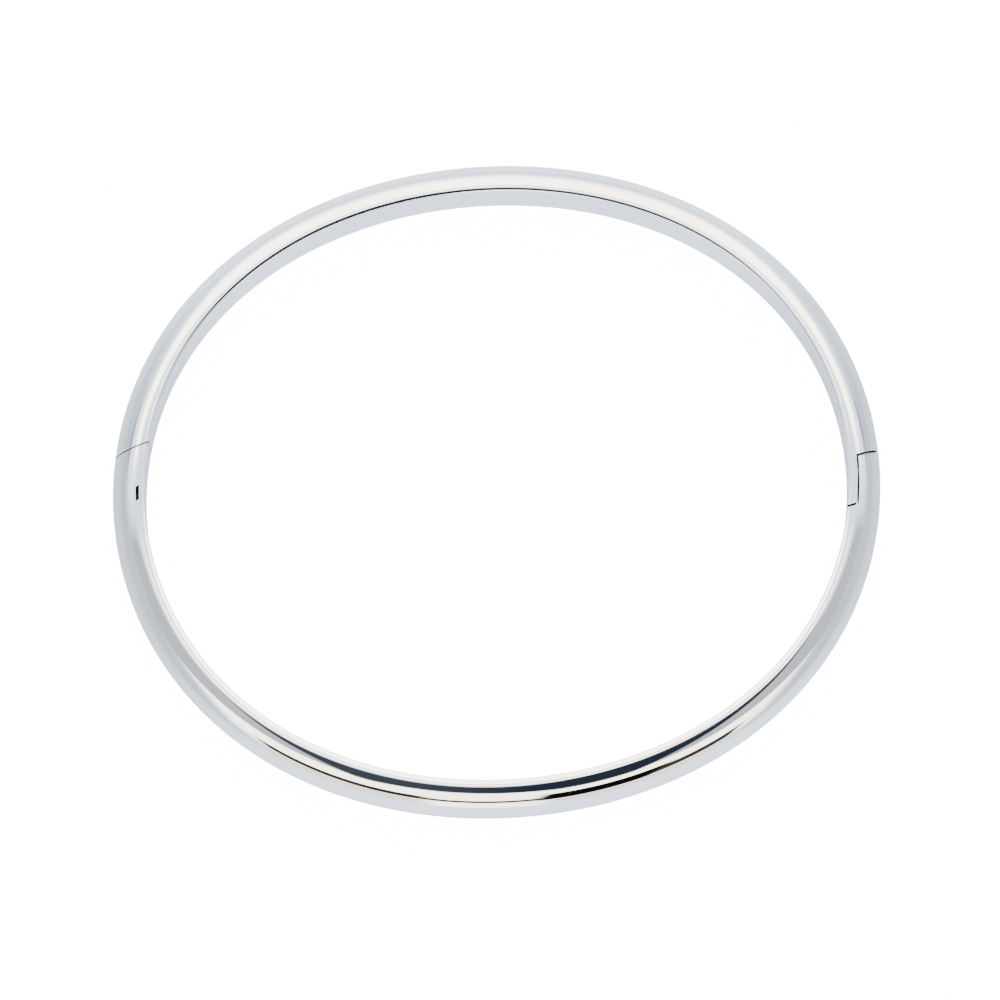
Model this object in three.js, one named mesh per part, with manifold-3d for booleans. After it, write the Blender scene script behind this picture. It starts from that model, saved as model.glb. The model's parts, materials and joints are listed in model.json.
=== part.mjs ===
// Hinged oval bangle bracelet.
// Two hollow half-round tube halves meet at a pinned hinge on the +X side and at a sprung
// tongue clasp on the -X side. The bangle lies flat on its side.
// Millimetres, +Z up along the wrist, origin under the middle of the oval.

import * as THREE from 'three';
import { mergeVertices } from 'three/addons/utils/BufferGeometryUtils.js';
import Module from 'manifold-3d';

const wasm = await Module();
wasm.setup();

// Oval: the space for the wrist.
const wristWidth = 59.6; // along X
const wristDepth = 51.3; // along Y
const fullness = 0.012; // how far the shoulders swell beyond a true ellipse, as a share

// Tube: a half-round section, flat towards the wrist.
const tubeDepth = 2.8; // from the wrist face to the crown
const tubeWidth = 4.8; // along Z
const wall = 0.3;
const wristCorner = 0.15; // rounding between the wrist face and the sides
const sideFlat = 0.35; // narrow flat on each side, between the rounding and the dome
const tightestCorner = 0.1; // rounding left in the corners of the hollow and of the plugs

// Facets.
const stepsPerHalf = 52;
const domeFacets = 12;
const cornerFacets = 2;
const roundFacets = 24;

// Clearances.
const solderGap = 0.04; // round every piece soldered inside a tube
const slideGap = 0.05; // between faces that pass each other
const pinGap = 0.03; // round the pin in the lug
const pinSeat = 0.02; // round the pin in the cheeks
const hingeSeam = 0.16; // open line between the halves at the hinge
const claspSeam = 0.11; // open line between the halves at the clasp

// Hinge: a stepped seam, with the pin behind its upper end.
const stepTopDepth = 0.85; // the step line's distance from the oval's end, at its upper end
const stepLowDepth = 0.49;
const stepTop = -0.05; // the step line's ends along Y
const stepLow = -4.25;
const topSeamRise = 16; // degrees, outwards
const lowSeamRise = 11;
const pinRadius = 0.3;
const pinLength = 2.4;
const pivotHeight = 3.2; // the pin's place along Y
const lugWidth = 1.5;
const lugEyeRadius = 1.03;
const lugEyeProud = 0.02; // how far the lug's eye runs past the crown before it is shaped to it
const hingePlugLength = 4.2; // beyond the seam's farther end, along the tube
const lugNeckRoot = 1.5; // how far the lug's neck runs down into its plug

// Clasp: a slanted seam, a tongue and its guide.
const claspHeight = 5.4; // the seam's place along Y, at mid tube
const claspSeamRise = 15.5; // degrees, towards the wrist
const tongueReach = 6; // from the seam into the near half
const tongueRoot = 1.3; // from the seam into the far half
const tongueInset = 0.4; // the tip's distance from the oval's end
const tongueWidth = 0.8;
const bladeThickness = 0.5;
const bladeDrop = 0.25; // the blade's top face below mid tube
const claspPlugLength = 3.4;
const receiverLength = 7.8;
const slotEnd = 0.25; // free space beyond the tongue's tip

// Catch leaf, its nib and its rivet.
const leafThickness = 0.22;
const leafLift = 0.06; // open line under the leaf's pad and over it
const leafPad = 0.75; // length of the flat pad at the tip
const padInset = 0.05; // the pad's end behind the blade's tip
const leafLength = 3.7;
const leafRise = 1.14;
const nibWidth = 0.16;
const nibLength = 1.05;
const nibHeight = 1.6; // the nib's top above mid tube
const nibRamp = 0.3; // length of the slope that rides under the mouth
const rivetRadius = 0.16;
const rivetHeadRadius = 0.28;
const rivetHeadHeight = 0.14;
const rivetPlay = 0.07; // round the rivet in the leaf

// Catch window in the near half's upper side.
const windowHeight = 1.6; // its centre along Y
const windowDepth = 0.56; // its centre's distance from the oval's end
const windowWidth = 0.32;
const windowLength = 1.2;
const windowSlant = 30; // degrees, of its two short ends

// Derived places.
const midHeight = tubeWidth / 2;
const ovalEnd = wristWidth / 2;
const domeRoot = wristCorner + sideFlat;
const crownAtPivot = (ovalEnd + tubeDepth)
  * Math.sqrt(1 - (pivotHeight / (wristDepth / 2 + tubeDepth)) ** 2);
const pivot = new THREE.Vector2(crownAtPivot + lugEyeProud - lugEyeRadius, pivotHeight);
const plugInset = wall + solderGap;
const clear = 3; // how far a cutting block runs past what it cuts
const far = 12;

const tipY = claspHeight - tongueReach;
const tongueInnerRadius = pivot.distanceTo(new THREE.Vector2(-ovalEnd - tongueInset, tipY));
const tongueOuterRadius = tongueInnerRadius + tongueWidth;
const bladeTop = midHeight - bladeDrop;
const bladeBottom = bladeTop - bladeThickness;
const padBottom = bladeTop + leafLift;
const padTop = padBottom + leafThickness;
const rivetY = tipY + padInset + leafPad / 2;

const radians = THREE.MathUtils.degToRad;

// ---- Solids ----

function toSolid(geometry) {
  geometry.deleteAttribute('normal');
  geometry.deleteAttribute('uv');
  const merged = mergeVertices(geometry, 1e-5);
  const vertProperties = new Float32Array(merged.attributes.position.array);
  const triVerts = new Uint32Array(merged.index.array);
  return new wasm.Manifold(new wasm.Mesh({ numProp: 3, vertProperties, triVerts }));
}

function toGeometry(solid) {
  const mesh = solid.getMesh();
  const geometry = new THREE.BufferGeometry();
  geometry.setAttribute('position', new THREE.BufferAttribute(mesh.vertProperties, mesh.numProp));
  geometry.setIndex(new THREE.BufferAttribute(mesh.triVerts, 1));
  geometry.computeVertexNormals();
  return geometry;
}

// A straight-sided block that stands on an outline in the XY plane.
function block(outline, low = -clear, high = tubeWidth + clear) {
  const geometry = new THREE.ExtrudeGeometry(new THREE.Shape(outline), {
    depth: high - low,
    bevelEnabled: false,
  });
  return toSolid(geometry.translate(0, 0, low));
}

// An upright cylinder.
function post(centre, radius, low, high) {
  const geometry = new THREE.CylinderGeometry(radius, radius, high - low, roundFacets);
  geometry.rotateX(Math.PI / 2);
  return toSolid(geometry.translate(centre.x, centre.y, (low + high) / 2));
}

// ---- Tube ----

// A point of the wrist face's line, at an angle in degrees from +X.
function ovalPoint(angle) {
  const turn = radians(angle);
  const swell = 1 + fullness * Math.sin(2 * turn) ** 2;
  const x = (wristWidth / 2) * Math.cos(turn) * swell;
  const y = (wristDepth / 2) * Math.sin(turn) * swell;
  return new THREE.Vector3(x, y, midHeight);
}

// The angle at which the wrist face's line passes a height along Y, on the +X side.
function angleAt(y) {
  return THREE.MathUtils.radToDeg(Math.asin(y / (wristDepth / 2)));
}

// A stretch of the wrist face's line, run clockwise so that the section's y points outwards.
class OvalStretch extends THREE.Curve {
  constructor(from, to) {
    super();
    this.from = from;
    this.to = to;
  }

  getPoint(share, target = new THREE.Vector3()) {
    return target.copy(ovalPoint(THREE.MathUtils.lerp(this.from, this.to, share)));
  }
}

function arc(centreX, centreY, radiusX, radiusY, from, to, facets) {
  const points = [];
  for (let i = 0; i <= facets; i += 1) {
    const turn = radians(THREE.MathUtils.lerp(from, to, i / facets));
    points.push(new THREE.Vector2(
      centreX + radiusX * Math.cos(turn),
      centreY + radiusY * Math.sin(turn),
    ));
  }
  return points;
}

// The half-round section, made smaller all round by an inset: x across, y outwards.
function sectionPoints(inset) {
  const half = tubeWidth / 2 - inset;
  const corner = Math.max(wristCorner - inset, tightestCorner);
  const cornerX = half - corner;
  const cornerY = inset + corner;
  return [
    ...arc(cornerX, cornerY, corner, corner, -90, 0, cornerFacets),
    ...arc(0, domeRoot, half, tubeDepth - domeRoot - inset, 0, 180, domeFacets),
    ...arc(-cornerX, cornerY, corner, corner, 180, 270, cornerFacets),
  ];
}

// A solid length of tube from one angle to a smaller one, inset all round, or hollow.
function tube(from, to, inset, hollowInset = 0) {
  const shape = new THREE.Shape(sectionPoints(inset));
  if (hollowInset > 0) {
    shape.holes.push(new THREE.Path(sectionPoints(hollowInset)));
  }
  const steps = Math.max(4, Math.ceil((stepsPerHalf * (from - to)) / 180));
  return toSolid(new THREE.ExtrudeGeometry(shape, {
    steps,
    bevelEnabled: false,
    extrudePath: new OvalStretch(from, to),
  }));
}

// ---- Seams ----
// A half is FAR (the +Y half) or NEAR (the -Y half). Each half's pieces are cut back by half
// the seam's open line.

const FAR = 1;
const NEAR = -1;

// What the stepped hinge seam takes from a half: everything on the other half's side of it.
// A spare amount keeps the cut farther from the half.
function hingeCut(half, spareGap = 0) {
  const shift = new THREE.Vector2(-half, half).multiplyScalar(hingeSeam / 2 - spareGap);
  const top = new THREE.Vector2(ovalEnd + stepTopDepth, stepTop);
  const low = new THREE.Vector2(ovalEnd + stepLowDepth, stepLow);
  const run = tubeDepth + clear;
  const outer = top.clone().add(new THREE.Vector2(run, run * Math.tan(radians(topSeamRise))));
  const inner = low.clone().sub(new THREE.Vector2(run, run * Math.tan(radians(lowSeamRise))));
  const line = [inner, low, top, outer].map((point) => point.add(shift));
  return block([
    ...line,
    new THREE.Vector2(outer.x, -half * far),
    new THREE.Vector2(inner.x, -half * far),
  ]);
}

// What the slanted clasp seam takes from a half.
function claspCut(half) {
  const middleX = -ovalEnd - tubeDepth / 2;
  const run = tubeDepth + clear;
  const rise = run * Math.tan(radians(claspSeamRise));
  const seamY = claspHeight + (half * claspSeam) / 2;
  return block([
    new THREE.Vector2(middleX - run, seamY - rise),
    new THREE.Vector2(middleX + run, seamY + rise),
    new THREE.Vector2(middleX + run, claspHeight - half * far),
    new THREE.Vector2(middleX - run, claspHeight - half * far),
  ]);
}

// Angles, in degrees from +X, of the seams' far ends, and how far past them a tube is made.
const spare = 4;
const hingeTopAngle = angleAt(stepTop + tubeDepth * Math.tan(radians(topSeamRise)));
const hingeLowAngle = angleAt(stepLow - tubeDepth * Math.tan(radians(lowSeamRise)));
const claspAngle = 180 - angleAt(claspHeight);

// ---- Hinge ----

// The room of the lug: a round eye about the pivot and a neck down to the near half's end.
// It runs out past the crown, so the tube's own dome shapes the lug's outer side.
function lugBlock(grow) {
  const half = lugWidth / 2 + grow;
  const neckInner = ovalEnd + stepTopDepth + hingeSeam / 2 - grow;
  const neckOuter = pivot.x + tubeDepth;
  const neckBottom = stepTop - lugNeckRoot;
  const neck = block([
    new THREE.Vector2(neckInner, neckBottom),
    new THREE.Vector2(neckOuter, neckBottom),
    new THREE.Vector2(neckOuter, pivot.y),
    new THREE.Vector2(neckInner, pivot.y),
  ], midHeight - half, midHeight + half);
  return neck.add(post(pivot, lugEyeRadius + grow, midHeight - half, midHeight + half));
}

function pinPost(grow, length) {
  return post(pivot, pinRadius + grow, midHeight - length / 2, midHeight + length / 2);
}

// Two cheeks with a slot between them, soldered into the far half.
function hingeFork() {
  return tube(angleAt(pivotHeight + hingePlugLength), hingeLowAngle - spare, plugInset)
    .subtract(hingeCut(FAR))
    .subtract(lugBlock(slideGap))
    .subtract(pinPost(pinSeat, tubeWidth));
}

// A plug with one centre lug, soldered into the near half. Above the seam the lug is flush
// with the crown, and it starts just clear of the shell's end.
function hingeLug() {
  const plug = tube(hingeTopAngle + spare, angleAt(stepLow - hingePlugLength), plugInset)
    .subtract(hingeCut(NEAR));
  const core = tube(angleAt(pivotHeight + hingePlugLength), -spare, plugInset)
    .intersect(lugBlock(0));
  const crown = tube(angleAt(pivotHeight + hingePlugLength), -spare, 0)
    .intersect(lugBlock(0))
    .intersect(hingeCut(NEAR, solderGap));
  return plug.add(core).add(crown).subtract(pinPost(pinGap, tubeWidth));
}

function hingePin() {
  return pinPost(0, pinLength);
}

// ---- Clasp ----

// The plan of a strip that follows the swing about the pivot, so the tongue slides true.
function swingStrip(innerRadius, outerRadius, fromY, toY) {
  const turnAt = (y, radius) => 180 - THREE.MathUtils.radToDeg(Math.asin((y - pivot.y) / radius));
  const side = (radius) => arc(
    pivot.x,
    pivot.y,
    radius,
    radius,
    turnAt(fromY, radius),
    turnAt(toY, radius),
    cornerFacets * 3,
  );
  return [...side(innerRadius), ...side(outerRadius).reverse()];
}

// The strip of the tongue, widened all round.
function tongueStrip(grow, fromY, toY) {
  return swingStrip(tongueInnerRadius - grow, tongueOuterRadius + grow, fromY, toY);
}

function rivetCentre() {
  const radius = (tongueInnerRadius + tongueOuterRadius) / 2;
  const run = Math.sqrt(radius ** 2 - (rivetY - pivot.y) ** 2);
  return new THREE.Vector2(pivot.x - run, rivetY);
}

// The plug that carries the tongue, soldered into the far half's end.
function claspPlug() {
  const top = claspHeight + tongueRoot + solderGap;
  const pocket = block(
    tongueStrip(solderGap, claspHeight - clear, top),
    bladeBottom - solderGap,
    bladeTop + solderGap,
  );
  return tube(claspAngle + spare, 180 - angleAt(claspHeight + claspPlugLength), plugInset)
    .subtract(claspCut(FAR))
    .subtract(pocket);
}

// The blade, its root trimmed to the room inside the tube.
function tongueBlade() {
  const room = tube(180 - angleAt(tipY - clear), 180 - angleAt(claspHeight + clear), plugInset);
  return block(tongueStrip(0, tipY, claspHeight + tongueRoot), bladeBottom, bladeTop)
    .intersect(room)
    .subtract(post(rivetCentre(), rivetRadius + pinGap, bladeBottom - clear, bladeTop + clear));
}

// A side view, drawn along Y and Z, pushed out along X across the whole tongue.
function acrossTongue(outline) {
  const geometry = new THREE.ExtrudeGeometry(new THREE.Shape(outline), {
    depth: far,
    bevelEnabled: false,
  });
  geometry.applyMatrix4(new THREE.Matrix4().makeBasis(
    new THREE.Vector3(0, 1, 0),
    new THREE.Vector3(0, 0, 1),
    new THREE.Vector3(1, 0, 0),
  ));
  return toSolid(geometry.translate(-ovalEnd - far / 2, 0, 0));
}

// A flat pad at the tip and a straight leaf that rises towards the mouth.
function catchLeaf() {
  const start = tipY + padInset;
  const bend = start + leafPad;
  const end = start + leafLength;
  const leaf = acrossTongue([
    new THREE.Vector2(start, padBottom),
    new THREE.Vector2(bend, padBottom),
    new THREE.Vector2(end, padBottom + leafRise),
    new THREE.Vector2(end, padTop + leafRise),
    new THREE.Vector2(bend, padTop),
    new THREE.Vector2(start, padTop),
  ]).intersect(block(tongueStrip(0, tipY, end + clear)));
  return leaf
    .add(catchNib(bend, end))
    .subtract(post(rivetCentre(), rivetRadius + rivetPlay, padBottom - clear, padTop + clear));
}

// The nib stands on the leaf under the window, with a slope towards the mouth.
function catchNib(bend, end) {
  const nibStart = windowHeight - nibLength / 2;
  const nibEnd = windowHeight + nibLength / 2;
  const leafTopAt = (y) => padTop + (leafRise * (y - bend)) / (end - bend);
  const sink = leafThickness / 2;
  const top = midHeight + nibHeight;
  const middle = pivot.distanceTo(new THREE.Vector2(-ovalEnd - windowDepth, windowHeight));
  const strip = swingStrip(middle - nibWidth / 2, middle + nibWidth / 2, nibStart - 1, nibEnd + 1);
  return acrossTongue([
    new THREE.Vector2(nibStart, leafTopAt(nibStart) - sink),
    new THREE.Vector2(nibEnd, leafTopAt(nibEnd) - sink),
    new THREE.Vector2(nibEnd, top - nibRamp),
    new THREE.Vector2(nibEnd - nibRamp, top),
    new THREE.Vector2(nibStart, top),
  ]).intersect(block(strip));
}

function leafRivet() {
  const headBottom = padTop + leafLift;
  const profile = [
    new THREE.Vector2(0, bladeBottom),
    new THREE.Vector2(rivetRadius, bladeBottom),
    new THREE.Vector2(rivetRadius, headBottom),
    new THREE.Vector2(rivetHeadRadius, headBottom),
    new THREE.Vector2(rivetHeadRadius, headBottom + rivetHeadHeight / 2),
    new THREE.Vector2(rivetRadius, headBottom + rivetHeadHeight),
    new THREE.Vector2(0, headBottom + rivetHeadHeight),
  ];
  const centre = rivetCentre();
  const geometry = new THREE.LatheGeometry(profile, roundFacets).rotateX(Math.PI / 2);
  return toSolid(geometry.translate(centre.x, centre.y, 0));
}

// The tongue's guide: a plug in the near half's end with a slot, open above and at the mouth.
function receiverChannel() {
  const slot = block(
    tongueStrip(slideGap, tipY - slotEnd, claspHeight + clear),
    bladeBottom - slideGap,
  );
  return tube(180 - angleAt(claspHeight - receiverLength), claspAngle - spare, plugInset)
    .subtract(claspCut(NEAR))
    .subtract(slot);
}

// ---- Shells ----

function windowBlock() {
  const x = -ovalEnd - windowDepth;
  const halfWidth = windowWidth / 2;
  const halfLength = windowLength / 2;
  const slant = halfWidth * Math.tan(radians(windowSlant));
  return block([
    new THREE.Vector2(x - halfWidth, windowHeight - halfLength - slant),
    new THREE.Vector2(x + halfWidth, windowHeight - halfLength + slant),
    new THREE.Vector2(x + halfWidth, windowHeight + halfLength + slant),
    new THREE.Vector2(x - halfWidth, windowHeight + halfLength - slant),
  ], midHeight);
}

function farHalfShell() {
  return tube(claspAngle + spare, hingeLowAngle - spare, 0, wall)
    .subtract(hingeCut(FAR))
    .subtract(claspCut(FAR))
    .subtract(lugBlock(slideGap));
}

function nearHalfShell() {
  return tube(360 + hingeTopAngle + spare, claspAngle - spare, 0, wall)
    .subtract(hingeCut(NEAR))
    .subtract(claspCut(NEAR))
    .subtract(windowBlock());
}

// ---- Assembly ----

const polishedWhiteGold = { color: 0xdcdcde, roughness: 0.06, metalness: 1 };
const innerWhiteGold = { color: 0xc4c4c8, roughness: 0.3, metalness: 1 };
const springSteel = { color: 0xa9abb0, roughness: 0.25, metalness: 1 };

const pieces = [
  ['far_half_shell', farHalfShell, polishedWhiteGold],
  ['near_half_shell', nearHalfShell, polishedWhiteGold],
  ['hinge_fork', hingeFork, innerWhiteGold],
  ['hinge_lug', hingeLug, polishedWhiteGold],
  ['hinge_pin', hingePin, springSteel],
  ['clasp_plug', claspPlug, innerWhiteGold],
  ['tongue_blade', tongueBlade, springSteel],
  ['catch_leaf', catchLeaf, springSteel],
  ['leaf_rivet', leafRivet, springSteel],
  ['receiver_channel', receiverChannel, innerWhiteGold],
];

const bangle = new THREE.Group();
for (const [name, make, finish] of pieces) {
  const piece = new THREE.Mesh(toGeometry(make()), new THREE.MeshStandardMaterial(finish));
  piece.name = name;
  bangle.add(piece);
}

export default bangle;
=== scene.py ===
"""Looks of a hinged oval bangle bracelet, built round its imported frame.

Lengths inside this file are in millimetres and become metres when a mesh is made. The
bangle lies flat: +X runs to the hinge, +Y to the half with the tongue, +Z up.
"""

from __future__ import annotations

import json
import logging
import math
from collections.abc import Callable
from dataclasses import dataclass, field, replace
from enum import Enum, IntEnum

import bpy
import numpy as np
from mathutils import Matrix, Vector

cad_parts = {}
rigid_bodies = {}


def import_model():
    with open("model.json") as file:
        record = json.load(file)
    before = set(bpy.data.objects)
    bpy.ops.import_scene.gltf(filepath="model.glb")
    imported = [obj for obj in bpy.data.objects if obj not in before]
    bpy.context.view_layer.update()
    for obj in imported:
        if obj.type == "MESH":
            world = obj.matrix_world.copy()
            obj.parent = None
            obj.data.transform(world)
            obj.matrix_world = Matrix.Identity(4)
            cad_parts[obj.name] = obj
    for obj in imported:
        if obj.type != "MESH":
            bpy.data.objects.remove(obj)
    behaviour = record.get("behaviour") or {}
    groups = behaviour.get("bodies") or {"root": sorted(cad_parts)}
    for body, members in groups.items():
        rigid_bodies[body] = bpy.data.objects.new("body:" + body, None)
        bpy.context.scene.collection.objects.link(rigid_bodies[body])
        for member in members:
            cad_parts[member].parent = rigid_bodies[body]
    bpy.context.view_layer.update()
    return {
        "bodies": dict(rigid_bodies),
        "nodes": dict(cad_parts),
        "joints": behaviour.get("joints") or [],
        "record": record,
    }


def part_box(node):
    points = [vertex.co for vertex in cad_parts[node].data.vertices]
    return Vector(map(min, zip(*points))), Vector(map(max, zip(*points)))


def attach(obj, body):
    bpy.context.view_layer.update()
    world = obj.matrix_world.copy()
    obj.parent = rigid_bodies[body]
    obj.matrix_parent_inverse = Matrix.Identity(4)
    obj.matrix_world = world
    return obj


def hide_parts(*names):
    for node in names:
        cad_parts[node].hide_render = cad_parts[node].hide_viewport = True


log = logging.getLogger("bangle")

MM = 0.001
HINGE = "bangle_hinge"
# Room added round the hinge's eye, so that the open lug clears the slot's end.
SLOT_RELIEF = 0.03
# Slack within which a column counts as inside the slot.
SLOT_SLACK = 0.01
# Least corner radius of an inset section.
TIGHTEST_CORNER = 0.1
# Columns on each half of the wrist face.
FACE_STEPS = 6
# Height on the unit dome at which inset columns start to keep z, not depth, and how
# far on they keep it wholly.
BLEND_FROM, BLEND_OVER = 0.5, 0.3
# Angles searched for a seam and for the slot's round end.
CUT_REACH, EYE_REACH = math.radians(24), math.radians(10)
# Steps of halving, and of the search for the nearest point, with its damping.
HALVINGS = 44
NEWTON_STEPS, NEWTON_DAMPING = 12, 0.85
TINY = 1e-6

Array = np.ndarray
Colour = tuple[float, float, float, float]


class Half(Enum):
    """The two halves of the bangle, with the sign of Y on which each one lies."""

    FAR = 1
    NEAR = -1


class Part(IntEnum):
    """The parts of a walk round the section."""

    FACE = 0
    UPPER_CORNER = 1
    DOME = 2
    LOWER_CORNER = 3


# ---------------------------------------------------------------- shape


@dataclass(frozen=True)
class Section:
    """The tube's half-round section: flat towards the wrist, domed outwards.

    Depth is measured outwards from the wrist face, and z across from the middle.
    """

    depth: float = 2.8
    half_width: float = 2.4
    corner: float = 0.15
    side_flat: float = 0.35

    @property
    def root(self) -> float:
        """Depth at which the dome starts."""
        return self.corner + self.side_flat

    def dome(self, turn: Array, inset: float) -> tuple[Array, Array]:
        """Points of the dome, a half ellipse on the section's sides.

        Args:
            turn: Angles from one side, 0, over the crown, to the other, pi.
            inset: How far the dome is drawn in all round.

        Returns:
            Depths and z values.
        """
        depth = self.root + (self.depth - self.root - inset) * np.sin(turn)
        return depth, (self.half_width - inset) * np.cos(turn)

    def matched_turn(self, turn: Array, inset: float) -> Array:
        """Dome angles of an inset section that lie straight behind the outer ones.

        Low on the dome a point keeps its depth, near the crown it keeps its z, and the
        two are blended in between.

        Args:
            turn: Angles on the outer dome.
            inset: The inset of the section behind it.

        Returns:
            Angles on the inset dome.
        """
        rise = self.depth - self.root
        same_depth = np.arcsin(np.clip(np.sin(turn) * rise / (rise - inset), -1, 1))
        same_depth = np.where(turn > math.pi / 2, math.pi - same_depth, same_depth)
        ratio = self.half_width / (self.half_width - inset)
        same_z = np.arccos(np.clip(np.cos(turn) * ratio, -1, 1))
        blend = np.clip((np.sin(turn) - BLEND_FROM) / BLEND_OVER, 0, 1)
        blend = blend * blend * (3 - 2 * blend)
        return same_depth * (1 - blend) + same_z * blend


@dataclass(frozen=True)
class Loop:
    """The columns of a closed walk round the section, shared by every inset.

    Attributes:
        part: The Part on which each column lies.
        value: A share of the wrist face from -1 to 1, or an angle in radians.
    """

    part: Array
    value: Array

    @classmethod
    def make(cls, stops: list[float], dome_steps: int = 56, corner_steps: int = 6) -> Loop:
        """Columns spaced evenly between the dome angles that must be hit.

        Args:
            stops: Dome angles, in radians, on which a column has to lie.
            dome_steps: About how many columns the dome gets.
            corner_steps: Columns of each corner.

        Returns:
            The loop, walked from the middle of the wrist face over +z.
        """
        edges = np.array([0.0, *sorted(stops), math.pi])
        turns = [
            np.linspace(a, b, max(1, round(dome_steps * (b - a) / math.pi)), endpoint=False)
            for a, b in zip(edges[:-1], edges[1:])
        ]
        dome = np.append(np.concatenate(turns), math.pi)
        low = np.linspace(-math.pi / 2, 0, corner_steps, endpoint=False)
        high = np.linspace(math.pi, 1.5 * math.pi, corner_steps + 1)[1:]
        face = np.linspace(0, 1, FACE_STEPS + 1)[:-1]
        back = np.linspace(-1, 0, FACE_STEPS + 1)[1:-1]
        value = np.concatenate([face, low, dome, high, back])
        counts = [face.size, low.size, dome.size, high.size, back.size]
        kinds = [*Part, Part.FACE]
        return cls(part=np.repeat(kinds, counts), value=value)

    def points(self, section: Section, inset: float = 0.0) -> tuple[Array, Array]:
        """Depth and z of every column on the section drawn in by an inset."""
        corner = max(section.corner - inset, TIGHTEST_CORNER)
        reach = section.half_width - inset - corner
        turn = np.where(self.part == Part.DOME, self.value, 0.0)
        dome_depth, dome_z = section.dome(section.matched_turn(turn, inset), inset)
        corner_depth = inset + corner + corner * np.sin(self.value)
        side = np.where(self.part == Part.UPPER_CORNER, 1.0, -1.0)
        corner_z = side * reach + corner * np.cos(self.value)
        on_face, on_dome = self.part == Part.FACE, self.part == Part.DOME
        depth = np.where(on_face, inset, np.where(on_dome, dome_depth, corner_depth))
        z = np.where(on_face, self.value * reach, np.where(on_dome, dome_z, corner_z))
        return depth, z


@dataclass(frozen=True)
class Oval:
    """The line of the wrist face: an ellipse whose shoulders swell a little.

    The point at angle t is (a cos t, b sin t) times 1 + fullness sin^2 2t.
    """

    half_width: float
    half_depth: float
    fullness: float = 0.012

    def point(self, t: Array) -> tuple[Array, Array]:
        """X and Y of the line at angles in radians."""
        swell = 1 + self.fullness * np.sin(2 * t) ** 2
        return self.half_width * np.cos(t) * swell, self.half_depth * np.sin(t) * swell

    def tangent(self, t: Array) -> tuple[Array, Array]:
        """Derivative of the line with its angle."""
        swell = 1 + self.fullness * np.sin(2 * t) ** 2
        growth = 2 * self.fullness * np.sin(4 * t)
        dx = self.half_width * (growth * np.cos(t) - swell * np.sin(t))
        dy = self.half_depth * (growth * np.sin(t) + swell * np.cos(t))
        return dx, dy

    def offset(self, t: Array, depth: Array) -> tuple[Array, Array]:
        """X and Y at a depth outwards from the line, along its normal."""
        x, y = self.point(t)
        dx, dy = self.tangent(t)
        length = np.hypot(dx, dy)
        return x + depth * dy / length, y - depth * dx / length

    def depth_of(self, x: Array, y: Array) -> Array:
        """Depth of points outside the line, by Newton steps to the nearest point."""
        t = np.arctan2(y / self.half_depth, x / self.half_width)
        for _ in range(NEWTON_STEPS):
            px, py = self.point(t)
            dx, dy = self.tangent(t)
            along = ((x - px) * dx + (y - py) * dy) / (dx * dx + dy * dy)
            t = t + NEWTON_DAMPING * along
        px, py = self.point(t)
        dx, dy = self.tangent(t)
        return ((x - px) * dy - (y - py) * dx) / np.hypot(dx, dy)


def find_zero(
    test: Callable[[Array], Array], low: float, high: float, shape: tuple[int, ...]
) -> Array:
    """Values between two limits at which a test passes zero, by halving.

    Args:
        test: A function that is negative at low and positive at high.
        low: The lower limit, for every element.
        high: The upper limit.
        shape: Shape of the array of values.

    Returns:
        The array of values.
    """
    a, b = np.full(shape, low), np.full(shape, high)
    for _ in range(HALVINGS):
        middle = (a + b) / 2
        above = test(middle) > 0
        a, b = np.where(above, a, middle), np.where(above, middle, b)
    return (a + b) / 2


@dataclass(frozen=True)
class Line:
    """A straight line in plan, through a point, rising by an angle in degrees."""

    x: float
    y: float
    rise: float

    def above(self, x: Array, y: Array) -> Array:
        """How far points lie above the line, along Y."""
        return y - self.y - math.tan(math.radians(self.rise)) * (x - self.x)


# ---------------------------------------------------------------- meshes


def closed_mesh(
    name: str, points: Array, faces: Array, finish: Array | None = None
) -> bpy.types.Object:
    """Makes a smooth-shaded object of a closed mesh, with its faces outwards.

    Args:
        name: The object's name.
        points: Vertices in millimetres, n by 3.
        faces: Triangles or quads as vertex numbers, all turned one way.
        finish: Which of the object's materials each face takes; the first if left out.

    Returns:
        The object, linked to the scene, with its place in its mesh.
    """
    used, packed = np.unique(faces, return_inverse=True)
    faces = packed.reshape(faces.shape)
    points = points[used] * MM
    fan = np.concatenate([faces[:, [0, k, k + 1]] for k in range(1, faces.shape[1] - 1)])
    a, b, c = (points[fan[:, k]] for k in range(3))
    if np.einsum("ij,ij->i", a, np.cross(b, c)).sum() < 0:
        faces = faces[:, ::-1]
    mesh = bpy.data.meshes.new(name)
    mesh.vertices.add(len(points))
    mesh.vertices.foreach_set("co", points.ravel())
    mesh.loops.add(faces.size)
    mesh.loops.foreach_set("vertex_index", faces.ravel().astype(np.int32))
    mesh.polygons.add(len(faces))
    starts = np.arange(0, faces.size, faces.shape[1], dtype=np.int32)
    mesh.polygons.foreach_set("loop_start", starts)
    mesh.polygons.foreach_set("use_smooth", np.ones(len(faces), dtype=bool))
    if finish is not None:
        mesh.polygons.foreach_set("material_index", finish.astype(np.int32))
    mesh.update(calc_edges=True)
    made = bpy.data.objects.new(name, mesh)
    bpy.context.scene.collection.objects.link(made)
    return made


def round_edges(piece: bpy.types.Object, width: float, angle: float = 40, steps: int = 2) -> None:
    """Rounds a piece's sharp edges.

    Args:
        piece: The object.
        width: The rounding's size in millimetres.
        angle: Edges sharper than this, in degrees, are rounded.
        steps: Facets of the rounding.
    """
    bevel = piece.modifiers.new("rounded edges", "BEVEL")
    bevel.width = width * MM
    bevel.segments = steps
    bevel.limit_method = "ANGLE"
    bevel.angle_limit = math.radians(angle)
    bevel.use_clamp_overlap = True
    bevel.harden_normals = True
    bevel.material = 0


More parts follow.
